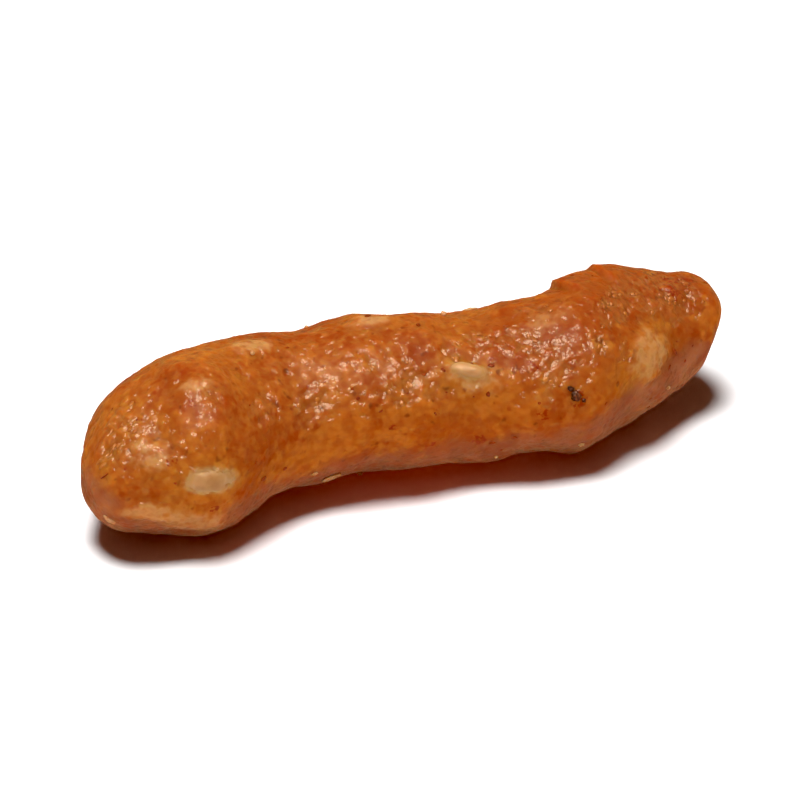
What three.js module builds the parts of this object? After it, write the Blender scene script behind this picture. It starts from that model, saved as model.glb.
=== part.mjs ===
// A sesame stick: a short stick of fried wheat dough with hulled sesame seeds under its skin.
// Millimetres. X runs along the stick from its rounded knob to its snapped end, and Z is up.
// The stick lies on the plane Z = 0, with its origin under the middle of its bounding box.
import * as THREE from "three";

// Driving dimensions.
const LENGTH = 36.7; // of its middle line, from tip to tip
const THICKNESS = 8.4; // mean diameter of the dough
const KNOB_CAP = 6; // length over which the knob's end rounds over
const SNAP_CAP = 1.6; // the same at the snapped end, which is much blunter
const SNAP_LEAN = 0.35; // how far the snapped end's top overhangs, for each millimetre of height
const SNAP_REACH = 9; // how far from that end the lean begins
const SEED_LENGTH = 3.2; // a hulled seed of full size
const SEED_WIDTH = 1.6;
const SEED_RISE = 0.36; // how far the proudest seed lifts the skin over it

// The dough's body at twelve places spread evenly along it, as shares of THICKNESS: how far its middle
// bends sideways, how high its middle lies, and its radius. It is a gentle S with a knob, a raised
// waist, a swell and a taper, and it rests on the knob and the swell.
const SIDEWAYS = [-0.08, 0.03, 0.01, 0.12, 0.13, 0.05, -0.05, -0.14, -0.18, -0.1, -0.04, 0.02];
const HEIGHT = [0.44, 0.49, 0.52, 0.51, 0.51, 0.53, 0.51, 0.5, 0.5, 0.5, 0.475, 0.51];
const RADIUS = [0.5, 0.535, 0.575, 0.5, 0.49, 0.505, 0.47, 0.475, 0.52, 0.485, 0.375, 0.31];

// Slow lumps of the skin, each a wave: [height, waves along the stick, waves round it, phase].
const LUMPS = [
  [0.11, 3.3, 2, 0.4],
  [0.08, 5.1, -3, 2.1],
  [0.06, 8.2, 1, 4],
];

// The seeds of the near side: [share of the length, degrees round, lean in degrees, share of the full
// size, share of the rise].
const NEAR_SEEDS = [
  [0.058, 190, 14, 1, 0.6],
  [0.072, 142, 60, 0.9, 0.6],
  [0.13, 205, 15, 1.15, 0.5],
  [0.15, 172, 12, 0.92, 0.3],
  [0.162, 111, 12, 0.6, 0.3],
  [0.282, 88, 14, 0.9, 0.4],
  [0.46, 85, -5, 0.8, 0.6],
  [0.56, 137, 18, 0.6, 0.8],
  [0.565, 145, 18, 0.95, 0.4],
  [0.7, 104, -6, 0.9, 0.3],
  [0.824, 152, -45, 0.9, 0.6],
  [0.846, 163, -45, 0.9, 0.6],
];

// The far side and the underside carry the same seeds, turned end for end and half way round.
const SEEDS = NEAR_SEEDS.flatMap(([along, round, lean, size, rise]) => [
  [along, round, lean, size, rise],
  [1 - along, round + 180, lean, size, rise],
]);

// How finely the skin is faceted.
const RINGS = 80;
const SIDES = 56;
const CROWDING = 0.8; // 0 spaces the rings evenly, and near 1 crowds them at the two tips

const TURN = 2 * Math.PI;

// A value at a share t of the length, read off an evenly spaced table by a Catmull-Rom curve.
function smooth(table, t) {
  const last = table.length - 1;
  const i = Math.min(Math.floor(t * last), last - 1);
  const f = t * last - i;
  const [a, b, c, d] = [i - 1, i, i + 1, i + 2].map((k) => table[Math.min(Math.max(k, 0), last)]);
  return b + 0.5 * f * (c - a + f * (2 * a - 5 * b + 4 * c - d + f * (3 * (b - c) + d - a)));
}

// The share of its full radius that the body keeps at a distance from a tip: a quarter of an ellipse.
function roundOver(fromTip, cap) {
  return Math.sqrt(1 - (1 - Math.min(fromTip / cap, 1)) ** 2);
}

// How far the seeds lift the skin at a place: each is a flattened hump over an ellipse, longer along
// the seed's own lean.
function seedLift(t, angle, radius) {
  let lift = 0;
  for (const [along, round, lean, size, rise] of SEEDS) {
    const down = (t - along) * LENGTH;
    const apart = angle - THREE.MathUtils.degToRad(round);
    const across = radius * Math.atan2(Math.sin(apart), Math.cos(apart));
    const tilt = THREE.MathUtils.degToRad(lean);
    const u = (down * Math.cos(tilt) + across * Math.sin(tilt)) / ((size * SEED_LENGTH) / 2);
    const v = (across * Math.cos(tilt) - down * Math.sin(tilt)) / ((size * SEED_WIDTH) / 2);
    lift += SEED_RISE * rise * Math.exp(-((u * u + v * v) ** 2));
  }
  return lift;
}

// The skin at a share t of the length and an angle round it that starts from +Y and rises over the top.
// Where it rests, its own weight has pressed it flat on Z = 0.
function skin(t, angle) {
  const along = t * LENGTH;
  let radius = THICKNESS * smooth(RADIUS, t);
  radius += seedLift(t, angle, radius);
  for (const [height, down, round, phase] of LUMPS)
    radius += height * Math.sin(TURN * down * t + round * angle + phase);
  radius *= roundOver(along, KNOB_CAP) * roundOver(LENGTH - along, SNAP_CAP);
  const y = THICKNESS * smooth(SIDEWAYS, t) + radius * Math.cos(angle);
  const rise = radius * Math.sin(angle);
  const z = THICKNESS * smooth(HEIGHT, t) + rise;
  const lean = SNAP_LEAN * Math.max(1 - (LENGTH - along) / SNAP_REACH, 0) ** 2;
  return new THREE.Vector3(along + lean * rise, y, Math.max(z, 0));
}

// The whole skin as one closed mesh: a tip, rings of points that crowd together at both ends, a tip.
function stickGeometry() {
  const points = [skin(0, 0)];
  for (let i = 1; i < RINGS; i++) {
    const t = i / RINGS - (CROWDING * Math.sin((TURN * i) / RINGS)) / TURN;
    for (let j = 0; j < SIDES; j++) points.push(skin(t, (TURN * j) / SIDES));
  }
  points.push(skin(1, 0));

  const at = (i, j) => 1 + (i - 1) * SIDES + (j % SIDES);
  const faces = [];
  for (let j = 0; j < SIDES; j++) {
    faces.push(0, at(1, j + 1), at(1, j));
    for (let i = 1; i < RINGS - 1; i++) {
      faces.push(at(i, j), at(i, j + 1), at(i + 1, j));
      faces.push(at(i, j + 1), at(i + 1, j + 1), at(i + 1, j));
    }
    faces.push(at(RINGS - 1, j), at(RINGS - 1, j + 1), points.length - 1);
  }

  const geometry = new THREE.BufferGeometry().setFromPoints(points).setIndex(faces);
  geometry.computeBoundingBox();
  const middle = geometry.boundingBox.getCenter(new THREE.Vector3());
  geometry.translate(-middle.x, -middle.y, 0);
  geometry.computeVertexNormals();
  return geometry;
}

const stick = new THREE.Mesh(
  stickGeometry(),
  new THREE.MeshStandardMaterial({ color: 0xb5672b, roughness: 0.4, metalness: 0 }),
);
stick.name = "stick";

const part = new THREE.Group();
part.add(stick);

export default part;
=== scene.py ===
# %% [markdown]
# # A sesame stick
# A sesame stick is a finger of wheat dough with hulled sesame seeds in it, squeezed out, cut and fried.
# This lesson makes one, about 37 mm long. The solid model already gives its place and its size. Here it
# gets what the eye sees: a blistered crust with seeds, bubbles, flecks of bran and crumbs in it, and a
# film of oil over all of it. Lengths are in millimetres until a mesh is made.

import bpy
import numpy as np
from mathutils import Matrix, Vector


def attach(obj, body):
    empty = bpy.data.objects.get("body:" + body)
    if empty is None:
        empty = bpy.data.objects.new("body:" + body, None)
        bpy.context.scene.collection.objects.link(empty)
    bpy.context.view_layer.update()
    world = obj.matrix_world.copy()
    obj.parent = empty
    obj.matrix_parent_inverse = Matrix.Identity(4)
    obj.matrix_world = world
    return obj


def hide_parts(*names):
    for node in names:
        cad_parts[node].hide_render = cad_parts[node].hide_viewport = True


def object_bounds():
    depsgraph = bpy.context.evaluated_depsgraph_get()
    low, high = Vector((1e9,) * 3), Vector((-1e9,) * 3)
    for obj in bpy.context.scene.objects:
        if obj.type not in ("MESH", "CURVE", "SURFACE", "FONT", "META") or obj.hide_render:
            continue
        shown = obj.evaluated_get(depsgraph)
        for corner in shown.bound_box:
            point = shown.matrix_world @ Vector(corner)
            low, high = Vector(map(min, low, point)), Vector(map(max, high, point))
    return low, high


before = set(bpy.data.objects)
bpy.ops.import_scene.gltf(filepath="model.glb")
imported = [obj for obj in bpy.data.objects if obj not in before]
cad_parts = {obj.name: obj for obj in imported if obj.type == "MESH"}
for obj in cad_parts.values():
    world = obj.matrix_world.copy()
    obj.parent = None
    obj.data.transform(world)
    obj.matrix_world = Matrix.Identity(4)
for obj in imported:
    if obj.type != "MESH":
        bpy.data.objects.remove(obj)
cad_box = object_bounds()

MM = 0.001
print("the solid stick measures", [round(side / MM, 1) for side in cad_box[1] - cad_box[0]], "mm")

# %% [markdown]
# ## The dough's body
# The body is a bent, uneven rod. It could be sculpted by hand, but then nobody could read or change its
# shape. Here it is a few named sizes and three short tables, the same ones that shaped the solid model:
# how far the middle of the dough bends sideways, how high it lies, and its radius. A Catmull-Rom curve
# runs smoothly through each table.

# %% The body's sizes and tables
LENGTH = 36.7  # of the middle line, from tip to tip
THICKNESS = 8.4  # mean diameter
KNOB_CAP = 6.0  # length over which the knob's end rounds over
SNAP_CAP = 1.6  # the same at the snapped end
SNAP_LEAN = 0.35  # how far the snapped end's top overhangs, for each millimetre of height
SNAP_REACH = 9.0  # how far from that end the lean begins

# At twelve places spread evenly along the stick, as shares of THICKNESS.
SIDEWAYS = np.array([-0.08, 0.03, 0.01, 0.12, 0.13, 0.05, -0.05, -0.14, -0.18, -0.1, -0.04, 0.02])
HEIGHT = np.array([0.44, 0.49, 0.52, 0.51, 0.51, 0.53, 0.51, 0.5, 0.5, 0.5, 0.475, 0.51])
RADIUS = np.array([0.5, 0.535, 0.575, 0.5, 0.49, 0.505, 0.47, 0.475, 0.52, 0.485, 0.375, 0.31])

# Slow lumps: [height, waves along the stick, waves round it, phase].
LUMPS = [(0.11, 3.3, 2, 0.4), (0.08, 5.1, -3, 2.1), (0.06, 8.2, 1, 4.0)]


# %% Smooth tables and rounded tips
def smooth(table, t):
    """A table's value at a share t of the length: the Catmull-Rom cubic through the four nearest."""
    last = len(table) - 1
    i = np.clip(np.floor(t * last).astype(int), 0, last - 1)
    f = t * last - i
    a, b, c, d = (table[np.clip(i + step, 0, last)] for step in (-1, 0, 1, 2))
    return b + 0.5 * f * (c - a + f * (2 * a - 5 * b + 4 * c - d + f * (3 * (b - c) + d - a)))


def round_over(from_tip, cap):
    """The share of the full radius kept at a distance from a tip: a quarter of an ellipse."""
    return np.sqrt(1 - (1 - np.clip(from_tip / cap, 0, 1)) ** 2)


print("it is", (2 * THICKNESS * RADIUS.max()).round(1), "mm thick at the knob")

# %% [markdown]
# ## Where the seeds lie
# The dough is full of seeds, and the ones near the surface show. Some are bare, and most lie under a
# skin of dough and only lift it and make it paler. They could be strewn at random, but a stick has only
# a dozen on a side, and each one catches the eye. So the near side's seeds are listed one by one. The
# far side repeats them turned end for end and half way round, so that no side is empty.

# %% The seeds' places
SEED_LENGTH, SEED_WIDTH, SEED_THICKNESS = 3.2, 1.6, 0.8
SEED_RISE = 0.36  # how far the proudest seed lifts the skin
BARE = 0.5  # a seed that shows more than this is bare

# [share of the length, degrees round from +Y over the top, lean in degrees, share of the full size,
#  share of the rise, how much it shows from 0 to 1].
NEAR_SEEDS = [
    (0.058, 190, 14, 1.0, 0.6, 0.5),
    (0.072, 142, 60, 0.9, 0.6, 0.5),
    (0.13, 205, 15, 1.15, 0.5, 0.5),
    (0.15, 172, 12, 0.92, 0.3, 1.0),
    (0.162, 111, 12, 0.6, 0.3, 0.5),
    (0.282, 88, 14, 0.9, 0.4, 0.45),
    (0.46, 85, -5, 0.8, 0.6, 0.5),
    (0.56, 137, 18, 0.6, 0.8, 0.6),
    (0.565, 145, 18, 0.95, 0.4, 0.5),
    (0.70, 104, -6, 0.9, 0.3, 0.3),
    (0.824, 152, -45, 0.9, 0.6, 0.5),
    (0.846, 163, -45, 0.9, 0.6, 0.5),
]


def on_every_side(places):
    """The places of the near side, and the same turned end for end and half way round."""
    return places + [(1 - place[0], place[1] + 180, *place[2:]) for place in places]


SEEDS = on_every_side(NEAR_SEEDS)
print(len(SEEDS), "seeds,", sum(place[5] > BARE for place in SEEDS), "of them bare")


# %% How near a point of the skin lies to a seed
def apart(t, angle, radius, place):
    """How far points lie from a place, in millimetres along the stick and round it."""
    turn = angle - np.radians(place[1])
    return (t - place[0]) * LENGTH, radius * np.arctan2(np.sin(turn), np.cos(turn))


def leaned(along, across, degrees):
    """Distances along and across a direction that leans from along the stick towards growing angles."""
    lean = np.radians(degrees)
    return along * np.cos(lean) + across * np.sin(lean), across * np.cos(lean) - along * np.sin(lean)


def over_seed(t, angle, radius, place, reach=1.0):
    """1 over a seed's middle, falling away past its rim: exp(-d^4), with d counted in the seed's half
    length and half width, times a reach."""
    u, v = np.array(leaned(*apart(t, angle, radius, place), place[2])) / place[3]
    return np.exp(-((((2 * u / SEED_LENGTH) ** 2 + (2 * v / SEED_WIDTH) ** 2) / reach**2) ** 2))


print(f"at its rim a seed keeps {np.exp(-1):.0%} of its lift")


# %% The body as a function of a share along it and an angle round it
def body(t, angle):
    """Points of the dough's body: a ring round the bent middle line, lumped, lifted over the seeds,
    rounded over at the tips, and leaning at the snapped end."""
    radius = THICKNESS * smooth(RADIUS, t)
    radius = radius + SEED_RISE * sum(place[4] * over_seed(t, angle, radius, place) for place in SEEDS)
    for height, down, around, phase in LUMPS:
        radius = radius + height * np.sin(2 * np.pi * down * t + around * angle + phase)
    along = t * LENGTH
    radius = radius * round_over(along, KNOB_CAP) * round_over(LENGTH - along, SNAP_CAP)
    rise = radius * np.sin(angle)
    lean = SNAP_LEAN * np.clip(1 - (LENGTH - along) / SNAP_REACH, 0, 1) ** 2
    y = THICKNESS * smooth(SIDEWAYS, t) + radius * np.cos(angle)
    z = THICKNESS * smooth(HEIGHT, t) + rise
    return np.stack([along + lean * rise, y, z], axis=-1)


print("the body's highest point at its middle is at", body(0.5, np.pi / 2)[2].round(1), "mm")

# %% [markdown]
# ## The grid of the skin
# The skin needs points about a tenth of a millimetre apart, also round the tips, where rings at even
# steps along the axis would lie far apart. A subdivided mesh would crowd them in the wrong places. So
# the rings are spaced evenly along the skin: the length of one side's outline is added up, and the
# rings are read off it at even distances.

# %% The grid of the skin
RINGS = 396
SIDES = 244
FINE_STEPS = 4000  # along the outline that is measured


def even_rings(count):
    """Shares of the length whose rings lie evenly along the skin of the +Y side."""
    fine = 0.5 - 0.5 * np.cos(np.linspace(0, np.pi, FINE_STEPS))
    outline = body(fine, np.zeros_like(fine))
    steps = np.linalg.norm(np.diff(outline, axis=0), axis=1)
    walked = np.concatenate([[0], np.cumsum(steps)])
    return np.interp(np.linspace(0, walked[-1], count + 2)[1:-1], walked, fine)


T, ANGLE = np.meshgrid(
    even_rings(RINGS), np.linspace(0, 2 * np.pi, SIDES, endpoint=False), indexing="ij"
)
BODY_RADIUS = THICKNESS * smooth(RADIUS, T)
low, high = (edge(body(T, ANGLE).reshape(-1, 3), axis=0) for edge in (np.min, np.max))
# Puts the middle of the body over the middle of the solid, and leaves its height alone.
TO_FRAME = (np.array(cad_box[0] + cad_box[1]) / MM - low - high) / 2 * (1, 1, 0)
BODY = body(T, ANGLE) + TO_FRAME
print("the body measures", (high - low).round(1), "mm before its crust")

# %% [markdown]
# ## Noise
# Dough is uneven at every size. Two kinds of noise give that. Gradient noise rolls like kneaded dough.
# Cell noise makes cobbles, which is what a fried crust looks like from close by. Both are worked out
# for all points at once from whole-number hashes, so they come out the same on every run.

# %% Gradient noise
AXIS_STIRS = np.array([374761393, 668265263, 1440662683])  # large odd numbers that scatter well
FIRST_STIR, SECOND_STIR = 1274126177, 2246822519
LOW_BITS, FRACTION_BITS = 0xFFFFFFFF, 0xFFFFFF
NOISE_GAIN = 1.6  # stretches the noise to about -1 to 1


def hashed(cells, salt):
    """A repeatable number from 0 to 1 for each whole-number cell (..., 3): multiply, mix, keep bits."""
    h = (cells @ AXIS_STIRS + salt * FIRST_STIR) & LOW_BITS
    h = ((h ^ (h >> 13)) * FIRST_STIR) & LOW_BITS
    h = ((h ^ (h >> 16)) * SECOND_STIR) & LOW_BITS
    return ((h ^ (h >> 15)) & FRACTION_BITS) / FRACTION_BITS


def rolling(points, size, salt):
    """Gradient noise from about -1 to 1: each corner of a cell holds a slope, blended by a quintic."""
    p = points / size
    cell = np.floor(p).astype(np.int64)
    f = p - cell
    fade = f * f * f * (f * (f * 6 - 15) + 10)
    total = 0
    for corner in np.ndindex(2, 2, 2):
        slope = np.stack([hashed(cell + corner, salt + axis) for axis in range(3)], axis=-1) * 2 - 1
        weight = np.prod(np.where(np.array(corner) == 1, fade, 1 - fade), axis=-1)
        total = total + weight * np.sum(slope * (f - corner), axis=-1)
    return total * NOISE_GAIN


rolls = rolling(BODY, 2.6, 21)
print(f"kneading noise over the body runs from {rolls.min():.2f} to {rolls.max():.2f}")

# %% Cobbles, layers and ramps
COBBLE_REACH = 0.65  # how far a cobble reaches from its middle, as a share of the cobbles' spacing
COBBLE_BEND = 0.25  # how far the points are bent before, in the same measure
BEND_SALT = 7


def cobbles(points, size, salt):
    """Cobbles from 0 in the cracks to 1 on top: one less the square of the distance to the nearest of
    the scattered cobble middles, on points that are bent a little first so no crack is straight."""
    p = points / size + COBBLE_BEND * rolling(points, size * 1.5, salt + BEND_SALT)[..., None]
    cell = np.floor(p).astype(np.int64)
    nearest = np.full(points.shape[:-1], 9.0)
    for step in np.ndindex(3, 3, 3):
        at = cell + np.array(step) - 1
        middle = at + np.stack([hashed(at, salt + axis) for axis in range(3)], axis=-1)
        nearest = np.minimum(nearest, np.sum((p - middle) ** 2, axis=-1))
    return 1 - np.minimum(nearest / COBBLE_REACH**2, 1)


def layered(kind, points, layers, salt):
    """Noise of one kind in several sizes, each [strength, size in millimetres], added up."""
    return sum(
        strength * kind(points, size, salt + i) for i, (strength, size) in enumerate(layers)
    )


def ramp(value, low, high):
    """0 below low, 1 above high, and a smooth step between."""
    x = np.clip((value - low) / (high - low), 0, 1)
    return x * x * (3 - 2 * x)


crack = cobbles(BODY, 0.6, 23)
print(f"{(crack < 0.2).mean():.0%} of the skin lies in the cracks between cobbles")

# %% [markdown]
# ## The crust
# Frying blisters the crust in patches, where it glitters with oil. In other patches it turns glassy and
# golden, or browns, or scorches in small spots. Low down the browned patches are painted shade: the crust
# is painted redder and darker there, as its underside looks in shade. Noise alone could spread these, but
# a stick's patches lie where its dough bulged into the fat. So each patch is a place and a reach, and
# noise only breaks up its edge. A few flaps of crust have lifted, two of them near the swell.

# %% Where the patches and the flaps lie
# [share of the length, degrees round, reach in millimetres].
NEAR_BLISTERS = [
    (0.05, 95, 1.3), (0.055, 122, 1.2), (0.175, 118, 0.6), (0.255, 142, 0.9),
    (0.32, 155, 0.8), (0.345, 145, 0.9), (0.42, 125, 0.7), (0.45, 150, 0.9),
    (0.48, 135, 0.8), (0.50, 152, 0.8), (0.55, 120, 0.6), (0.595, 110, 0.7),
    (0.605, 154, 0.5), (0.64, 118, 1.0), (0.66, 160, 0.7), (0.69, 92, 0.8),
    (0.69, 138, 1.1), (0.76, 138, 0.7), (0.79, 150, 0.6), (0.79, 116, 0.8),
    (0.83, 108, 1.2), (0.89, 96, 1.4), (0.90, 115, 1.4),
]
NEAR_GLASSY = [
    (0.158, 146, 1.0), (0.25, 192, 1.4), (0.353, 178, 2.0), (0.483, 186, 2.2),
    (0.585, 170, 2.0), (0.77, 172, 1.8), (0.97, 140, 1.6),
]
# The first five places lie low on the stick and are painted shade, redder and darker; the rest are
# browning.
NEAR_BROWNED_AND_SHADED = [
    (0.07, 215, 1.5), (0.22, 205, 1.6), (0.38, 212, 1.6), (0.56, 205, 2.0),
    (0.76, 208, 2.0), (0.14, 118, 1.0), (0.24, 165, 1.3), (0.33, 140, 0.8),
    (0.50, 186, 1.3), (0.66, 186, 1.1), (0.66, 118, 2.2), (0.70, 95, 2.4),
    (0.79, 104, 2.2), (0.86, 84, 2.2), (0.87, 190, 1.3), (0.905, 150, 0.8),
    (0.905, 170, 0.9), (0.93, 105, 1.7),
]
NEAR_SCORCHED = [
    (0.04, 142, 0.15), (0.10, 153, 0.25), (0.147, 121, 0.3), (0.153, 193, 0.3),
    (0.338, 134, 0.3), (0.44, 176, 0.2), (0.496, 195, 0.35), (0.504, 168, 0.2),
    (0.566, 196, 0.4), (0.60, 131, 0.2), (0.652, 140, 0.4), (0.652, 177, 0.35),
    (0.705, 168, 0.5), (0.80, 188, 0.25), (0.91, 100, 0.8), (0.945, 93, 0.5),
]
# [share of the length of its edge, degrees round, lift].
FLAPS = [(0.75, 68, 0.4), (0.815, 70, 0.35), (0.3, 330, 0.3)]
print(len(NEAR_BLISTERS), "blistered places on a side,", len(FLAPS), "flaps in all")

# %% The patches over the whole skin
EDGE_BREAKS = [(0.6, 0.9), (0.5, 0.45)]  # [strength, size] of the noise that breaks up a patch's edge
PATCH_RIM, PATCH_FULL = 0.2, 0.65  # nearness at which a patch begins, and at which it is full


def patches(places, salt):
    """How far each point lies in some patches, 0 to 1: exp(-d^2) for a distance d in reaches, summed,
    broken up by noise where it isn't nought, and ramped."""
    near = 0
    for place in places:
        along, across = apart(T, ANGLE, BODY_RADIUS, place)
        near = near + np.exp(-(along**2 + across**2) / place[2] ** 2)
    broken = layered(rolling, BODY, EDGE_BREAKS, salt)
    return ramp(near + broken * np.minimum(2 * near, 1), PATCH_RIM, PATCH_FULL)


BLISTERED = patches(on_every_side(NEAR_BLISTERS), 11)
GLASSY = patches(on_every_side(NEAR_GLASSY), 13) * (1 - BLISTERED)
# Browned crust, and low down painted shade.
BROWNED_AND_SHADED = patches(on_every_side(NEAR_BROWNED_AND_SHADED), 15)
DARKENED = patches(on_every_side(NEAR_SCORCHED), 17)
print(f"{BLISTERED.mean():.0%} of the crust is blistered, {GLASSY.mean():.0%} glassy")

# %% Paler dough over the seeds
HALO_REACH = 1.7  # how far the paler dough round a seed reaches, in half lengths and half widths of it


def seed_cover(reach):
    """How much the seeds tell in the skin, 0 to 1, each over a reach of its own size."""
    told = sum(place[5] * over_seed(T, ANGLE, BODY_RADIUS, place, reach) for place in SEEDS)
    return told.clip(0, 1)


SEEDED = seed_cover(1.0)
HALO = seed_cover(HALO_REACH)
print(f"seeds tell in {(HALO > 0.1).mean():.0%} of the skin")

# %% [markdown]
# Low down and at the ends the crust is painted darker and pinkish, paler in places. That is painted shade
# of the underside and a painted reflection of the white table in its oil. This could be one more list of
# places, but it follows the height of the skin, so a ramp on the height gives it, raised near the ends
# and made uneven.

# %% The painted shade and reflection of the underside
UNDERSIDE_SHADE_TOP, UNDERSIDE_SHADE_FULL = 4.0, 1.9  # heights at which the painted shade and reflection begin, and at which they are full
END_DROP = 1.7  # how much higher than that it reaches at an end
ENDS = ramp(T, 0.55, 0.92) + ramp(T, 0.07, 0.0)
# The mask of the underside's painted shade and painted reflection, higher at the ends, and kept off the
# seeds.
UNDERSIDE_SHADE_AND_REFLECTION = ramp(BODY[..., 2] - END_DROP * ENDS + 0.6 * rolling(BODY, 1.5, 19), UNDERSIDE_SHADE_TOP, UNDERSIDE_SHADE_FULL)
UNDERSIDE_SHADE_AND_REFLECTION = UNDERSIDE_SHADE_AND_REFLECTION * (1 - SEEDED)
# Where the painted reflection turns paler and pinker, most at the ends.
REFLECTION_PALENESS = (0.5 * ENDS**2 + 0.9 * rolling(BODY, 1.1, 20)).clip(0, 1)
print(f"{UNDERSIDE_SHADE_AND_REFLECTION.mean():.0%} of the crust is dull")

# %% [markdown]
# ## Relief
# The crust's shape is real shape, not only shading, because it shows in the outline and in raking light.
# The relief adds slow swells, cobbles and ripples, and the last two stand two to five times as high where
# it is blistered. They calm down in glassy patches and over seeds. A flap is a step that sinks back along
# the stick.

# %% The relief of the crust, in millimetres
FLAP_LENGTH, FLAP_WIDTH = 4.0, 2.2
FLAP_EDGE, FLAP_BLUNTING = 0.15, 0.3  # how wide the step is, and how much wider to its sides
COBBLE_MEAN = 0.6  # the cobbles' usual height, taken off so that they don't thicken the stick


def flap_lift():
    """How far the flaps lift the crust: sharply at one edge, less so to its sides, then sinking back
    along the stick."""
    total = 0
    for place in FLAPS:
        along, across = apart(T, ANGLE, BODY_RADIUS, place)
        sinking = np.exp(-((along / FLAP_LENGTH) ** 2) - (across / FLAP_WIDTH) ** 2)
        total = total + place[2] * ramp(along, 0, FLAP_EDGE + FLAP_BLUNTING * across**2) * sinking
    return total


SWELLS = layered(rolling, BODY, [(0.14, 2.6), (0.08, 1.2)], 21)
COBBLES = layered(cobbles, BODY, [(0.6, 0.6), (0.4, 0.4)], 23)
RIPPLES = layered(rolling, BODY, [(0.6, 0.7), (0.4, 0.4)], 25)
CALM = (1 - 0.6 * GLASSY) * (1 - 0.85 * SEEDED)
COBBLE_HEIGHT = 0.035 + 0.05 * BLISTERED
RIPPLE_HEIGHT = 0.025 + 0.09 * BLISTERED
COARSE = COBBLE_HEIGHT * (COBBLES - COBBLE_MEAN) + RIPPLE_HEIGHT * RIPPLES
RELIEF = SWELLS + CALM * COARSE + flap_lift()
print(f"the crust's relief runs from {RELIEF.min():.2f} to {RELIEF.max():.2f} mm")


# %% The skin, moved out by its relief
def outward(rings):
    """Unit normals of a grid of rings: the slope round the stick crossed with the slope along it."""
    round_it = np.roll(rings, -1, axis=1) - np.roll(rings, 1, axis=1)
    along_it = np.gradient(rings, axis=0)
    normal = np.cross(round_it, along_it)
    return normal / np.linalg.norm(normal, axis=-1, keepdims=True)


SKIN = BODY + outward(BODY) * RELIEF[..., None]
SKIN[..., 2] = np.maximum(SKIN[..., 2], 0)
print(f"{(SKIN[..., 2] == 0).mean():.1%} of the skin lies flat on what it rests on")

# %% [markdown]
# ## From rings to a piece
# The grid closes round the stick by itself, since the last column joins the first. Each end is closed
# by a fan of triangles on one tip point. The same helper will serve the seeds and the crumbs, so it
# takes any number of ringed shapes at once and joins them in one mesh.


# %% Make a piece of ringed shapes
def piece(name, shapes):
    """A closed mesh, in metres, from shapes of rings (shapes, n, m, 3), each end drawn to one point. It
    goes with the stick."""
    count, n, m = shapes.shape[:3]
    grid = np.arange(n * m).reshape(n, m)
    beside = np.roll(grid, -1, axis=1)
    quads = np.stack([grid[:-1], beside[:-1], beside[1:], grid[1:]], axis=-1).reshape(-1, 4)
    first = np.stack([np.full(m, n * m), beside[0], grid[0]], axis=-1)
    last = np.stack([np.full(m, n * m + 1), grid[-1], beside[-1]], axis=-1)
    tips = shapes[:, (0, -1)].mean(axis=2)
    points = np.concatenate([shapes.reshape(count, -1, 3), tips], axis=1).reshape(-1, 3) * MM
    offset = np.arange(count)[:, None, None] * (n * m + 2)
    faces = [(kind[None] + offset).reshape(-1, kind.shape[1]).tolist() for kind in (quads, first, last)]
    mesh = bpy.data.meshes.new(name)
    mesh.from_pydata(points.tolist(), [], faces[0] + faces[1] + faces[2])
    mesh.shade_smooth()
    thing = bpy.data.objects.new(name, mesh)
    bpy.context.scene.collection.objects.link(thing)
    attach(thing, "root")
    print(name, "has", count * (2 * len(quads) + 2 * m), "triangles")
    return thing


def paint(thing, name, values):
    """Stores one number for each point of ringed shapes (shapes, n, m), tips included."""
    tips = values[:, (0, -1)].mean(axis=2)
    layer = thing.data.attributes.new(name, "FLOAT", "POINT")
    numbers = np.concatenate([values.reshape(len(values), -1), tips], axis=1)
    layer.data.foreach_set("value", numbers.reshape(-1).astype(np.float32))


# %% The dough
dough = piece("dough", SKIN[None])
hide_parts("stick")
# Among these numbers the browned patches low down are painted shade, and the underside band is painted
# shade and a painted reflection of the table.
crust = {"blistered": BLISTERED, "glassy": GLASSY, "browned_and_shaded": BROWNED_AND_SHADED, "darkened": DARKENED}
crust |= {"dulled": UNDERSIDE_SHADE_AND_REFLECTION, "paled": REFLECTION_PALENESS, "seeded": SEEDED, "halo": HALO, "cobbles": COBBLES}
for name, values in crust.items():
    paint(dough, name, values[None])

# %% [markdown]
# ## Laying small things on the skin
# Seeds, bubbles, flecks and crumbs all sit in the finished skin. They could be modelled one by one and
# turned into place. It is less work to shape each by itself, in millimetres along the stick, round it
# and outwards, and then to lay it on the skin, so that it bends with it.

# %% Lay shapes on the skin
STEP = 0.002  # of the length, and of a turn in radians, to measure the skin's slope with
TIP_ROOM = 1.5 * STEP  # how near to a tip a shape may come, as a share of the length


def skin(t, angle, height):
    """Points at a height over the skin: the body's point, moved out along its normal by the height and
    by the relief at the nearest point of the grid."""
    round_it = body(t, angle + STEP) - body(t, angle - STEP)
    along_it = body(t + STEP, angle) - body(t - STEP, angle)
    normal = np.cross(round_it, along_it)
    normal = normal / np.linalg.norm(normal, axis=-1, keepdims=True)
    ring = np.searchsorted(T[:, 0], t).clip(0, RINGS - 1)
    side = np.round(angle / (2 * np.pi) * SIDES).astype(int) % SIDES
    points = body(t, angle) + TO_FRAME + normal * (RELIEF[ring, side] + height)[..., None]
    points[..., 2] = np.maximum(points[..., 2], 0)
    return points


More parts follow.
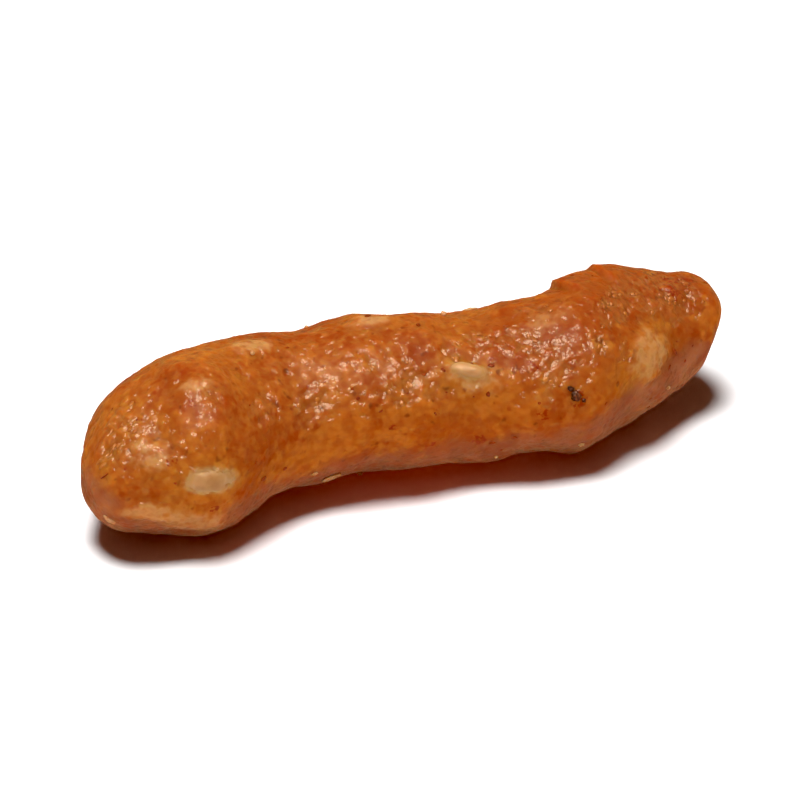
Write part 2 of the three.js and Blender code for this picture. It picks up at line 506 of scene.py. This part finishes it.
def laid(shapes, shares, degrees, leans):
    """Shapes (shapes, n, m, 3) laid on the skin at their places, leaning like the seeds do."""
    shares, degrees, leans = (np.reshape(column, (-1, 1, 1)) for column in (shares, degrees, leans))
    along, across = leaned(shapes[..., 0], shapes[..., 1], -leans)
    t = (shares + along / LENGTH).clip(TIP_ROOM, 1 - TIP_ROOM)
    return skin(t, np.radians(degrees) + across / (THICKNESS * smooth(RADIUS, shares)), shapes[..., 2])


print("a shape keeps at least", round(TIP_ROOM * LENGTH, 2), "mm from a tip")

# %% [markdown]
# ## Bare seeds
# A hulled sesame seed is a flat teardrop, round at one end and pointed at the other. A scaled ball would
# look like a pill, so it is a surface of two parameters: one runs from tip to tip, and one goes round.
# Its lower half is sunk in the dough. Its upper half is a low crown that rises clear of the skin in the
# middle and sinks into it by the rim, so the seed grows out of the dough and isn't laid on like a tile.

# %% The shape of a seed
POINTED = 0.2  # how much narrower than an ellipse a seed is towards its point


def ball_grid(n, m):
    """Two parameters for a closed shape: from pole to pole, poles left out, and all the way round."""
    pole = np.linspace(0, np.pi, n + 2)[1:-1]
    return np.meshgrid(pole, np.linspace(0, 2 * np.pi, m, endpoint=False), indexing="ij")


def sesame(length, width, thickness, crown):
    """A teardrop: the half width is an ellipse's, narrowed towards the pointed end. Its lower half is an
    oval, and its upper half a crown that swells by one less the squared distance from the middle."""
    pole, turn = ball_grid(30, 36)
    u = np.cos(pole)
    girth = np.sin(pole) * (1 - POINTED * u)
    out = np.sin(pole) * np.sin(turn)
    height = np.where(out > 0, crown * out**2, thickness / 2 * out)
    return np.stack([u * length / 2, girth * np.cos(turn) * width / 2, height], axis=-1)


print("a seed of full size is", SEED_LENGTH, "mm long and", SEED_WIDTH, "mm wide")

# %% The bare seeds
SEED_CROWN = 0.15  # height of a seed's crown over its rim, times its share of the rise
SEED_SUNK = 0.28  # how deep that rim lies under the skin, as a share of the crown
SEED_UNEVEN = 0.02  # how far its surface is pushed in and out
FAR_APART = 10  # moves each seed's noise away from the next seed's

bare = np.array([place for place in SEEDS if place[5] > BARE])
SEED_SIZE = np.array([SEED_LENGTH, SEED_WIDTH, SEED_THICKNESS])
crowns = SEED_CROWN * bare[:, 4]
each_seed = np.arange(len(bare))[:, None, None, None]
seed_shapes = np.stack([sesame(*(SEED_SIZE * size), crown) for size, crown in zip(bare[:, 3], crowns)])
seed_shapes[..., 2] += SEED_UNEVEN * rolling(seed_shapes + FAR_APART * each_seed, 0.6, 31)
seed_shapes[..., 2] -= SEED_SUNK * crowns[:, None, None]
seeds = piece("seeds", laid(seed_shapes, bare[:, 0], bare[:, 1], bare[:, 2]))

# %% How much of each seed shows
half_lengths = seed_shapes[..., 0] * 2 / SEED_LENGTH
half_widths = seed_shapes[..., 1] * 2 / SEED_WIDTH
from_middle = np.hypot(half_lengths, half_widths) / bare[:, 3, None, None]
wiped = ramp(1 - from_middle + 0.2 * rolling(seed_shapes, 0.5, 32), 0.0, 0.75)
paint(seeds, "showing", wiped * bare[:, 5, None, None] ** 0.5)
print(f"the seeds are {wiped.mean():.0%} free of dough")

# %% [markdown]
# ## Bubbles
# Steam leaving the hot dough raises bubbles a fifth to a third of a millimetre wide, in clusters. Their
# tops catch the light, which is why the crust glitters. They are too fine for the dough's own mesh, so
# each is a small squashed ball of a few dozen faces. Random places are drawn over the whole stick, and
# a place is kept when the crust is blistered there.

# %% Random places and squashed balls
chance = np.random.default_rng(7)
TRIES = 40  # places drawn for each that is wanted


def scattered(count, likely):
    """Random shares and degrees, kept by how likely the grid of the skin says each place is."""
    shares, degrees = chance.uniform(0.015, 0.985, TRIES * count), chance.uniform(0, 360, TRIES * count)
    ring = np.searchsorted(T[:, 0], shares).clip(0, RINGS - 1)
    side = (degrees / 360 * SIDES).astype(int)
    kept = np.flatnonzero(chance.uniform(0, 1, TRIES * count) < likely[ring, side])[:count]
    return shares[kept], degrees[kept]


def widths(count, smallest, spread):
    """Random widths in millimetres, most of them small: the square of an even chance, spread out."""
    return smallest + spread * chance.uniform(0, 1, count) ** 2


def balls(across, squash, n, m):
    """Balls lying flat (shapes, n, m, 3), each as wide as asked and squashed to a share of that."""
    pole, turn = ball_grid(n, m)
    ball = np.stack([np.sin(pole) * np.cos(turn), np.sin(pole) * np.sin(turn), -np.cos(pole)], axis=-1)
    return ball * across[:, None, None, None] / 2 * np.array([1, 1, squash])


print("for each place that is wanted,", TRIES, "are drawn")

# %% The bubbles
BUBBLES = 320
BUBBLE_SUNK = 0.1  # of its width

clusters = ramp(rolling(BODY, 0.9, 61), 0.0, 0.5)
shares, degrees = scattered(BUBBLES, BLISTERED * clusters * (1 - 0.8 * SEEDED))
bubble_widths = widths(len(shares), 0.16, 0.2)
bubble_shapes = balls(bubble_widths, 0.6, 5, 8)
bubble_shapes[..., 0] *= chance.uniform(0.8, 1.4, (len(shares), 1, 1))
bubble_shapes[..., 2] -= BUBBLE_SUNK * bubble_widths[:, None, None]
turns = chance.uniform(0, 180, len(shares))
bubbles = piece("bubbles", laid(bubble_shapes, shares, degrees, turns))
paint(bubbles, "blistered", np.ones(bubble_shapes.shape[:3]))
paint(bubbles, "cobbles", np.ones(bubble_shapes.shape[:3]))

# %% [markdown]
# ## Flecks of bran
# Bran from the flour shows as red-brown flecks in the skin. They could be spots in the material, but the
# larger ones stand a little proud and catch the light. So each is a thin lens with an uneven rim, draped
# on the skin. They are kept off the seeds, which have no bran on them.

# %% The bran
FLECKS = 80
FLECK_RIM = 9
FLECK_THICKNESS = 0.03
FLECK_PROUD = 0.008  # how far its middle plane lies over the skin


def lenses(across, thickness):
    """Thin lenses (shapes, 3, rim, 3): a small ring below, an uneven rim, a small ring above."""
    count = len(across)
    turn = np.linspace(0, 2 * np.pi, FLECK_RIM, endpoint=False)
    uneven = chance.uniform(0.7, 1.25, (count, 1, FLECK_RIM))
    reach = np.array([0.45, 1.0, 0.45])[None, :, None] * uneven * across[:, None, None] / 2
    height = np.array([-0.5, 0.0, 0.5])[None, :, None] * thickness * np.ones_like(reach)
    stretch = chance.uniform(1.0, 1.4, (count, 1, 1))
    return np.stack([reach * stretch * np.cos(turn), reach * np.sin(turn) / stretch, height], axis=-1)


floury = ramp(rolling(BODY, 2.2, 62), -0.5, 0.6) * (1 - SEEDED)
shares, degrees = scattered(FLECKS, floury)
bran_shapes = lenses(widths(len(shares), 0.12, 0.22), FLECK_THICKNESS)
bran_shapes[..., 2] += FLECK_PROUD
turns = chance.uniform(0, 180, len(shares))
bran = piece("bran", laid(bran_shapes, shares, degrees, turns))
fleck_shades = chance.uniform(0, 1, len(shares))[:, None, None]
paint(bran, "shade", np.broadcast_to(fleck_shades, bran_shapes.shape[:3]))

# %% [markdown]
# ## Scorched and pale crumbs
# A few crumbs fried twice and went nearly black, and a few pale ones stuck on last. Each shows, so they
# are listed and not strewn. A crumb is a ball pushed in and out by cobbles and noise, then squeezed.

# %% The crumbs
# [share of the length, degrees round, size, stretch along, squash, lean in degrees, standing out].
NEAR_SCORCHED_CRUMBS = [
    (0.702, 166, 0.62, 1.0, 0.7, 0, 0.05),
    (0.696, 160, 0.34, 1.2, 0.6, 40, 0.0),
    (0.713, 170, 0.26, 1.0, 0.6, 0, 0.0),
]
NEAR_PALE_CRUMBS = [
    (0.363, 219, 0.55, 2.2, 0.5, -18, 0.1),
    (0.574, 72, 0.34, 1.0, 1.0, 0, 0.2),
    (0.02, 215, 0.5, 1.8, 0.5, 60, 0.05),
    (0.33, 205, 0.26, 1.3, 0.7, 0, 0.1),
    (0.275, 96, 0.24, 1.0, 0.8, 0, 0.15),
    (0.72, 214, 0.3, 1.4, 0.6, 15, 0.05),
    (0.6, 222, 0.24, 1.0, 0.8, 0, 0.1),
    (0.88, 196, 0.26, 1.5, 0.6, 30, 0.05),
]


def crumbs(name, places, salt):
    """Crumbs at listed places: balls swelled by cobbles and noise, squeezed, and standing out of the
    skin by a share of their size."""
    share, turn, size, along, squash, lean, standing = np.array(places).T
    shapes = balls(np.ones(len(places)), 1.0, 14, 18)
    where = shapes * 2 + FAR_APART * np.arange(len(places))[:, None, None, None]
    swell = 0.75 + 0.3 * cobbles(where, 0.8, salt) + 0.25 * rolling(where, 0.9, salt + 1)
    squeeze = np.stack([along, np.ones_like(along), squash], axis=-1) * size[:, None]
    shapes = shapes * swell[..., None] * squeeze[:, None, None]
    shapes[..., 2] += (standing * size)[:, None, None]
    return piece(name, laid(shapes, share, turn, lean))


scorched = crumbs("scorched_crumbs", on_every_side(NEAR_SCORCHED_CRUMBS), 41)
pale = crumbs("pale_crumbs", on_every_side(NEAR_PALE_CRUMBS), 51)

# %% [markdown]
# ## Materials
# A finish could be one picture wrapped round the stick. Here it is worked out from node patterns and
# from the numbers painted on the meshes, so it has no seam and is sharp from close by. Effects that
# more than one material uses are node groups, built once: one gives the fine grain of anything fried,
# and one mottles three shades. Groups give only numbers and colours. The surfaces stay in the materials.


# %% Add nodes and join them
def add(tree, kind, inputs=None, **settings):
    """A node with its settings and its inputs, each a value or another node's output."""
    node = tree.nodes.new(kind)
    for key, value in settings.items():
        setattr(node, key, value)
    for key, value in (inputs or {}).items():
        if isinstance(value, bpy.types.NodeSocket):
            tree.links.new(value, node.inputs[key])
        else:
            node.inputs[key].default_value = value
    return node


def combined(tree, how, one, other):
    """Two numbers combined by a Math node."""
    return add(tree, "ShaderNodeMath", {0: one, 1: other}, operation=how).outputs[0]


def ranged(tree, value, low, high, to_low=0.0, to_high=1.0):
    """A value carried smoothly from one range onto another, and held inside it."""
    inputs = {"Value": value, "From Min": low, "From Max": high, "To Min": to_low, "To Max": to_high}
    return add(tree, "ShaderNodeMapRange", inputs, interpolation_type="SMOOTHSTEP").outputs["Result"]


FACTOR, ONE, OTHER, BLEND = 0, 6, 7, 2  # the Mix node's colour sockets: three inputs and its output


def blended(tree, share, one, other):
    """A colour between two, by a share."""
    inputs = {FACTOR: share, ONE: one, OTHER: other}
    return add(tree, "ShaderNodeMix", inputs, data_type="RGBA").outputs[BLEND]


def attribute(tree, name):
    """A number painted on the mesh."""
    return add(tree, "ShaderNodeAttribute", attribute_name=name).outputs["Fac"]


print("the Mix node takes its colours at sockets", ONE, "and", OTHER)


# %% Patterns
def noise(tree, place, size, detail):
    """Smooth noise whose blobs are about so many millimetres wide."""
    inputs = {"Vector": place, "Scale": 1 / (size * MM), "Detail": detail}
    return add(tree, "ShaderNodeTexNoise", inputs).outputs["Fac"]


def beaded(tree, place, size, height):
    """Round beads of a size: less twice their height times the squared distance from their middles,
    which is counted in sizes."""
    cells = add(tree, "ShaderNodeTexVoronoi", {"Vector": place, "Scale": 1 / (size * MM)})
    squared = combined(tree, "MULTIPLY", cells.outputs["Distance"], cells.outputs["Distance"])
    return combined(tree, "MULTIPLY", squared, -2.0 * height)


print("blobs 1 mm wide need a noise of scale", 1 / MM)

# %% Groups
FLOAT, COLOUR, VECTOR = "NodeSocketFloat", "NodeSocketColor", "NodeSocketVector"


def group(name, inputs, outputs):
    """An empty node group with named sockets, each with its kind."""
    tree = bpy.data.node_groups.new(name, "ShaderNodeTree")
    for way, sockets in (("INPUT", inputs), ("OUTPUT", outputs)):
        for key, kind in sockets.items():
            tree.interface.new_socket(key, in_out=way, socket_type=kind)
    return tree, tree.nodes.new("NodeGroupInput").outputs, tree.nodes.new("NodeGroupOutput").inputs


print("a group's sockets are of the kinds", FLOAT, COLOUR, "and", VECTOR)

# %% The fine grain group
PIMPLE_SIZE, GRAIN_SIZE = 0.3, 0.1
sockets = {"Place": VECTOR, "Pimples": FLOAT, "Grain": FLOAT}
graining, given, result = group("fine grain", sockets, {"Height": FLOAT})
pimples = noise(graining, given["Place"], PIMPLE_SIZE, 2.0)
grain = noise(graining, given["Place"], GRAIN_SIZE, 3.0)
pimpled = combined(graining, "MULTIPLY", pimples, given["Pimples"])
grained = combined(graining, "MULTIPLY", grain, given["Grain"])
graining.links.new(combined(graining, "ADD", pimpled, grained), result["Height"])
print("the fine grain group adds two noises,", PIMPLE_SIZE, "and", GRAIN_SIZE, "mm wide")


def fine_grain(tree, place, pimples, grain):
    """The shared fine relief, with pimples and grain of heights in millimetres."""
    inputs = {"Place": place, "Pimples": pimples, "Grain": grain}
    return add(tree, "ShaderNodeGroup", inputs, node_tree=graining).outputs["Height"]


# %% The mottling group
BLOB_SIZE, SPECK_SIZE = 3.0, 0.5
sockets = {"Place": VECTOR, "Size": FLOAT, "Darker": COLOUR, "Middle": COLOUR, "Lighter": COLOUR}
mottling, given, result = group("mottling", sockets, {"Colour": COLOUR})
shrink = combined(mottling, "DIVIDE", 1.0, given["Size"])
scaled = add(mottling, "ShaderNodeVectorMath", {0: given["Place"], "Scale": shrink}, operation="SCALE")
blobs = combined(mottling, "MULTIPLY", noise(mottling, scaled.outputs[0], BLOB_SIZE, 3.0), 0.6)
specks = combined(mottling, "MULTIPLY", noise(mottling, scaled.outputs[0], SPECK_SIZE, 1.0), 0.4)
both = combined(mottling, "ADD", blobs, specks)
lower = blended(mottling, ranged(mottling, both, 0.38, 0.5), given["Darker"], given["Middle"])
upper = blended(mottling, ranged(mottling, both, 0.5, 0.62), lower, given["Lighter"])
mottling.links.new(upper, result["Colour"])
print("the mottling group has blobs", BLOB_SIZE, "mm wide and specks", SPECK_SIZE, "mm wide")


def mottled(tree, place, darker, middle, lighter, size=1.0):
    """The shared mottle of three shades, larger or smaller by a size."""
    inputs = {"Place": place, "Size": size, "Darker": darker, "Middle": middle, "Lighter": lighter}
    return add(tree, "ShaderNodeGroup", inputs, node_tree=mottling).outputs["Colour"]


# %% A material and its surface
def new_material(thing, name):
    """A material on a thing, with one Principled surface, and its Object coordinates."""
    material = bpy.data.materials.new(name)
    material.use_nodes = True
    tree = material.node_tree
    tree.nodes.clear()
    surface = tree.nodes.new("ShaderNodeBsdfPrincipled")
    tree.links.new(surface.outputs["BSDF"], tree.nodes.new("ShaderNodeOutputMaterial").inputs["Surface"])
    thing.data.materials.append(material)
    print("the", name, "goes on the", thing.name)
    return tree, surface.inputs, tree.nodes.new("ShaderNodeTexCoord").outputs["Object"]


def bumped(tree, height, socket):
    """A relief in millimetres, turned into normals for one of the surface's layers."""
    bump = add(tree, "ShaderNodeBump", {"Height": height, "Distance": MM, "Strength": 1.0})
    tree.links.new(bump.outputs["Normal"], socket)


def finish(surface, amounts):
    """Amounts that are the same all over, set straight on the surface's own sockets."""
    for key, value in amounts.items():
        surface[key].default_value = value


def soaking(surface, weight, radius, scale):
    """Light soaks in by a weight: red, green and blue reach so far, times a scale in millimetres."""
    amounts = {"Weight": weight, "Radius": radius, "Scale": scale * MM}
    finish(surface, {f"Subsurface {key}": value for key, value in amounts.items()})


print("a relief of 1 mm pushes the surface out by", MM, "m")


# %% [markdown]
# ### Fried dough
# The crust is amber, browner in its cracks and paler where a seed lies under it. Low down it is painted
# redder and darker, which is painted shade. Each of these is a layer of colour laid on by a mask, and the
# underside's painted shade and painted reflection of the table come last, over all of them. Light also
# soaks in and comes out redder, which is why thin edges glow: that is subsurface scattering. Over it lies
# a film of oil. A glossier crust would do for it, but it would shine like plastic. A coat has its own
# relief of tiny beads, which break up the oil's reflection while the dough under it stays soft.

# %% The colours of the crust
AMBER = (0.38, 0.10, 0.012, 1)
GOLDEN = (0.46, 0.14, 0.014, 1)
RUSSET = (0.28, 0.045, 0.004, 1)
DRY_CRUST = (0.42, 0.15, 0.03, 1)
SEED_GLOW = (0.50, 0.18, 0.02, 1)
OVER_SEED = (0.49, 0.24, 0.08, 1)
DARK_SPOT = (0.12, 0.016, 0.002, 1)
SCORCH_RED = (0.24, 0.018, 0.002, 1)
# Painted shade of the underside with a painted reflection of the table, and its paler, pinker form at the
# ends.
SHADE_AND_REFLECTION = (0.235, 0.066, 0.03, 1)
PALER_REFLECTION = (0.36, 0.13, 0.06, 1)
print("amber gives back", round(AMBER[0] / AMBER[2]), "times as much red as blue")


# %% The crust's layers of colour
def crust_masks(tree, place):
    """The masks that are a painted number times a noise: dry crust, dough over seeds, burnt grains."""
    patch = attribute(tree, "blistered")
    drying = ranged(tree, patch, 0.0, 1.0, 0.3, 1.0)
    dry = combined(tree, "MULTIPLY", noise(tree, place, 0.4, 1.0), drying)
    uneven = ranged(tree, noise(tree, place, 0.6, 2.0), 0.3, 0.7, 0.5, 1.3)
    over_seeds = combined(tree, "MULTIPLY", attribute(tree, "seeded"), uneven)
    grains = ranged(tree, noise(tree, place, 0.22, 1.0), 0.4, 0.65, 0.2, 1.4)
    burnt = combined(tree, "MULTIPLY", attribute(tree, "darkened"), grains)
    return dry, over_seeds, burnt


def crust_colour(tree, place):
    """The mottled dough with its layers laid on, one after another."""
    dry, over_seeds, burnt = crust_masks(tree, place)
    raised = attribute(tree, "cobbles")
    spots = noise(tree, place, 0.55, 1.0)
    speckle = noise(tree, place, 0.3, 0.0)
    # The underside's colour: painted shade, and a painted reflection of the table that is paler towards
    # the ends.
    painted_underside = blended(tree, attribute(tree, "paled"), SHADE_AND_REFLECTION, PALER_REFLECTION)
    # [mask, value where the layer begins, value where it is full, its share there, its colour].
    layers = [
        (attribute(tree, "glassy"), 0.0, 1.0, 0.7, GOLDEN),
        # Browning, and low down painted shade.
        (attribute(tree, "browned_and_shaded"), 0.0, 1.0, 0.6, RUSSET),
        (attribute(tree, "halo"), 0.05, 0.95, 0.65, SEED_GLOW),
        (raised, 0.6, 0.1, 0.45, RUSSET),
        (dry, 0.3, 0.7, 0.4, DRY_CRUST),
        (spots, 0.64, 0.8, 0.7, DARK_SPOT),
        (over_seeds, 0.1, 0.55, 0.9, OVER_SEED),
        (speckle, 0.6, 0.3, 0.18, RUSSET),
        (speckle, 0.5, 0.8, 0.18, DRY_CRUST),
        (burnt, 0.1, 1.3, 0.9, SCORCH_RED),
        # Painted shade and painted reflection of the underside, over all the rest.
        (attribute(tree, "dulled"), 0.0, 1.0, 0.75, painted_underside),
    ]
    colour = mottled(tree, place, RUSSET, AMBER, GOLDEN)
    for mask, begins, full, share, shade in layers:
        colour = blended(tree, ranged(tree, mask, begins, full, 0.0, share), colour, shade)
    print(len(layers), "layers lie over the mottled dough")
    return colour


# %% Fried dough
def fried_dough(thing, weight):
    """The dough's finish, with so much weight on the light that soaks in."""
    tree, surface, place = new_material(thing, "fried dough")
    tree.links.new(crust_colour(tree, place), surface["Base Color"])
    patch = attribute(tree, "blistered")
    wet = combined(tree, "ADD", ranged(tree, patch, 0.0, 1.0, 0.0, 0.17), noise(tree, place, 0.5, 3.0))
    tree.links.new(ranged(tree, wet, 0.45, 0.6), surface["Coat Weight"])
    tree.links.new(ranged(tree, wet, 0.35, 0.5, 0.6, 0.4), surface["Roughness"])
    beads = combined(tree, "ADD", beaded(tree, place, 0.52, 0.08), beaded(tree, place, 0.28, 0.025))
    bumped(tree, beads, surface["Coat Normal"])
    swollen = combined(tree, "MULTIPLY", beads, ranged(tree, patch, 0.0, 1.0, 0.04, 0.25))
    under_oil = combined(tree, "ADD", fine_grain(tree, place, 0.02, 0.004), swollen)
    bumped(tree, under_oil, surface["Normal"])
    soaking(surface, weight, (1.0, 0.4, 0.15), 1.6)
    finish(surface, {"Specular IOR Level": 0.2, "Coat Roughness": 0.25, "Coat IOR": 1.6})


fried_dough(dough, 1.0)
fried_dough(bubbles, 0.0)

# %% [markdown]
# ### Sesame seed
# A hulled seed is cream to tan and slightly see-through. Plain cream would look like enamel, so it is
# mottled, lets light soak in, and takes the colour of the dough over it towards its rim, where less of
# it shows. Its oil is thin and even, so its coat is rough and has no beads.

# %% Sesame seed
SEED_TAN = (0.38, 0.16, 0.03, 1)
SEED_PALE = (0.43, 0.20, 0.05, 1)
SEED_CREAM = (0.49, 0.26, 0.09, 1)

tree, surface, place = new_material(seeds, "sesame seed")
colour = mottled(tree, place, SEED_TAN, SEED_PALE, SEED_CREAM, 0.8)
showing = attribute(tree, "showing")
tree.links.new(blended(tree, showing, OVER_SEED, colour), surface["Base Color"])
tree.links.new(ranged(tree, showing, 0.0, 0.7), surface["Coat Weight"])
bumped(tree, fine_grain(tree, place, 0.015, 0.005), surface["Normal"])
soaking(surface, 0.6, (1.0, 0.6, 0.3), 0.8)
finish(surface, {"Roughness": 0.5, "Specular IOR Level": 0.15, "Coat Roughness": 0.5, "Coat IOR": 2.0})

# %% [markdown]
# ### Bran
# Each fleck has its own shade between two red-browns, painted on it as one number, and specks of the
# crust's russet over that. It is nearly dry: a thin coat gives it only a glint.

# %% Bran
BRAN_DARK = (0.18, 0.02, 0.003, 1)
BRAN_RED = (0.30, 0.045, 0.004, 1)

tree, surface, place = new_material(bran, "wheat bran")
colour = blended(tree, attribute(tree, "shade"), BRAN_DARK, BRAN_RED)
specked = ranged(tree, noise(tree, place, 0.2, 3.0), 0.4, 0.7, 0.0, 0.5)
tree.links.new(blended(tree, specked, colour, RUSSET), surface["Base Color"])
bumped(tree, fine_grain(tree, place, 0.05, 0.03), surface["Normal"])
finish(surface, {"Roughness": 0.5, "Specular IOR Level": 0.15})
finish(surface, {"Coat Weight": 0.1, "Coat Roughness": 0.12})

# %% [markdown]
# ### Crumbs
# A scorched crumb is nearly black, with brown in it that keeps it from looking like a hole, and oil
# glints on its edges. A pale crumb is dough that fried for only a moment, so it is the lightest and
# softest thing on the stick, and light soaks in.

# %% Scorched crumbs
CHAR, SCORCH_DARK, SCORCH_BROWN = (0.02, 0.004, 0.001, 1), (0.05, 0.01, 0.003, 1), (0.16, 0.035, 0.008, 1)
CRUMB_MOTTLE = 0.3  # size of a crumb's mottle

tree, surface, place = new_material(scorched, "scorched crumb")
colour = mottled(tree, place, CHAR, SCORCH_DARK, SCORCH_BROWN, CRUMB_MOTTLE)
tree.links.new(colour, surface["Base Color"])
bumped(tree, fine_grain(tree, place, 0.08, 0.03), surface["Normal"])
finish(surface, {"Roughness": 0.4, "Specular IOR Level": 0.3})
finish(surface, {"Coat Weight": 0.5, "Coat Roughness": 0.2})

# %% Pale crumbs
CRUMB_TAN, CRUMB_PALE, CRUMB_CREAM = (0.40, 0.15, 0.04, 1), (0.52, 0.24, 0.09, 1), (0.62, 0.34, 0.17, 1)

tree, surface, place = new_material(pale, "pale crumb")
colour = mottled(tree, place, CRUMB_TAN, CRUMB_PALE, CRUMB_CREAM, CRUMB_MOTTLE)
tree.links.new(colour, surface["Base Color"])
bumped(tree, fine_grain(tree, place, 0.03, 0.02), surface["Normal"])
soaking(surface, 0.7, (1.0, 0.5, 0.25), 0.5)
finish(surface, {"Roughness": 0.5, "Coat Weight": 0.4, "Coat Roughness": 0.12})

# %% [markdown]
# ## Table
# The stick lies on a plain white table, one square large enough to fill every view. Its reflection would
# put a haze on the oily underside, so glossy rays don't see it.

# %% Table
TABLE = 3.0  # half its side, in metres
table_mesh = bpy.data.meshes.new("table")
corners = [(-TABLE, -TABLE, 0), (TABLE, -TABLE, 0), (TABLE, TABLE, 0), (-TABLE, TABLE, 0)]
table_mesh.from_pydata(corners, [], [(0, 1, 2, 3)])
table = bpy.data.objects.new("table", table_mesh)
bpy.context.scene.collection.objects.link(table)
tree, surface, place = new_material(table, "white table")
finish(surface, {"Base Color": (0.92, 0.92, 0.92, 1), "Roughness": 0.6})
table.visible_glossy = False

# %% [markdown]
# ## Light
# A food picture is lit so that the food glows and the table stays white with one soft shadow. One lamp
# can't do both, so each softbox has one job. The one overhead shapes the stick, and its twin over the
# table lights only the table, where it makes the shadow. One from the front and one from behind fill the
# stick's sides without touching the shadow. The sparkle softbox gives no diffuse light, only glints in
# the oil. The last one is small and red and lies inside the stick, which doesn't block it. It stands for
# the light that has soaked through the dough and tints the shadow's darkest part.


# %% A softbox
def towards(azimuth, elevation):
    """The direction out to an azimuth and elevation in degrees: azimuth 0 is -Y, and 90 is +X."""
    a, e = np.radians(azimuth), np.radians(elevation)
    return np.array([np.sin(a) * np.cos(e), -np.cos(a) * np.cos(e), np.sin(e)])


def facing(thing, aim, direction, distance):
    """Puts a thing at a distance from an aim, looking back at it."""
    thing.location = Vector(aim + direction * distance)
    thing.rotation_mode = "QUATERNION"
    thing.rotation_quaternion = Vector(direction).to_track_quat("Z", "Y")
    bpy.context.scene.collection.objects.link(thing)


def softbox(name, direction, distance, size, watts, glossy=False, diffuse=True):
    """A round softbox that the camera doesn't see. It shows in reflections only if it is glossy, and it
    lights things up only if it is diffuse."""
    lamp = bpy.data.lights.new(name, "AREA")
    lamp.shape = "DISK"
    lamp.size = size
    lamp.energy = watts
    thing = bpy.data.objects.new(name, lamp)
    thing.visible_camera, thing.visible_glossy, thing.visible_diffuse = False, glossy, diffuse
    facing(thing, np.array(cad_box[0] + cad_box[1]) / 2, direction, distance)
    print(name, "gives", watts, "W from", size, "m across")
    return thing


print("straight up is towards", towards(0, 90).round(2))

# %% The softboxes
ABOVE = towards(-115, 84)
softbox("overhead", ABOVE, 0.4, 0.18, 0.6)
over_table = softbox("over the table", ABOVE, 0.4, 0.18, 2.4, glossy=True)
front = softbox("front", towards(-30, 63), 0.5, 0.35, 2.5)
behind = softbox("behind", towards(150, 55), 0.5, 0.35, 1.2)
sparkle = softbox("sparkle", towards(-30, 68), 0.5, 0.44, 3.6, glossy=True, diffuse=False)
sparkle.data.color = (1.0, 0.78, 0.56)
soaked = softbox("soaked through the dough", towards(0, 90), 0.004, 0.034, 0.0024)
soaked.data.shape = "RECTANGLE"
soaked.data.size_y = 0.006
soaked.data.color = (1.0, 0.04, 0.01)


# %% What each softbox lights
def lit(name, things):
    """A collection that a lamp can be told to light alone."""
    collection = bpy.data.collections.new(name)
    for thing in things:
        collection.objects.link(thing)
    return collection


stick_only = lit("lit by the front softbox", (dough, seeds, bubbles, bran, scorched, pale))
table_only = lit("lit by the softbox over the table", (table,))
for lamps, alone in (((front, behind), stick_only), ((over_table, soaked), table_only)):
    for lamp in lamps:
        lamp.light_linking.receiver_collection = alone
soaked.light_linking.blocker_collection = table_only

# %% [markdown]
# ## Surroundings and tone
# The camera sees plain white beyond the table. The oil mirrors the same surroundings, but dimmer and
# warmer, as a room of wood and paper would look in it. Pure white there would wash the amber out. They
# light nothing else, since the softboxes do that. The tone is the plain one, with its black level raised
# a little, which deepens the darkest browns.

# %% Surroundings
MIRRORED = 0.26  # how bright the surroundings are in reflections
MIRRORED_TINT = (1, 0.52, 0.25, 1)

world = bpy.data.worlds.new("studio")
bpy.context.scene.world = world
world.use_nodes = True
tree = world.node_tree
tree.nodes.clear()
rays = add(tree, "ShaderNodeLightPath").outputs
mirrored = combined(tree, "MULTIPLY", rays["Is Glossy Ray"], MIRRORED)
strength = combined(tree, "MAXIMUM", rays["Is Camera Ray"], mirrored)
shade = blended(tree, rays["Is Glossy Ray"], (1, 1, 1, 1), MIRRORED_TINT)
sky = add(tree, "ShaderNodeBackground", {"Color": shade, "Strength": strength})
tree.links.new(sky.outputs[0], tree.nodes.new("ShaderNodeOutputWorld").inputs[0])

BLACK_LEVEL = 0.005
look = bpy.context.scene.view_settings
look.view_transform = "Standard"
look.use_curve_mapping = True
look.curve_mapping.black_level = (BLACK_LEVEL, BLACK_LEVEL, BLACK_LEVEL)
print("reflections see the surroundings at", MIRRORED, "of their brightness")

# %% [markdown]
# ## Camera
# A small thing is best shown by a long lens from some way off, because a short one from close by would
# swell its near end. The camera looks down at about a third of a right angle, and it aims at the middle
# of what it sees of the skin: the skin's points are measured along the view's two directions, and the
# aim is half way between the extremes of each.

# %% Camera
CAMERA_AZIMUTH, CAMERA_ELEVATION = -25.6, 32.0
CAMERA_DISTANCE = 0.3
lens = bpy.data.cameras.new("camera")
lens.lens = 254.8
lens.sensor_width = 36.0
lens.clip_start = 0.01
lens.shift_x, lens.shift_y = -0.0085, -0.0025
camera = bpy.data.objects.new("camera", lens)
back = towards(CAMERA_AZIMUTH, CAMERA_ELEVATION)
right = np.cross([0, 0, 1], back)
right = right / np.linalg.norm(right)
points = SKIN.reshape(-1, 3) * MM
spans = [(axis, points @ axis) for axis in (right, np.cross(back, right))]
aim = sum(axis * (span.min() + span.max()) / 2 for axis, span in spans)
facing(camera, aim, back, CAMERA_DISTANCE)
bpy.context.scene.camera = camera
print("the camera stands", CAMERA_DISTANCE, "m off, with a lens of", round(lens.lens, 1), "mm")
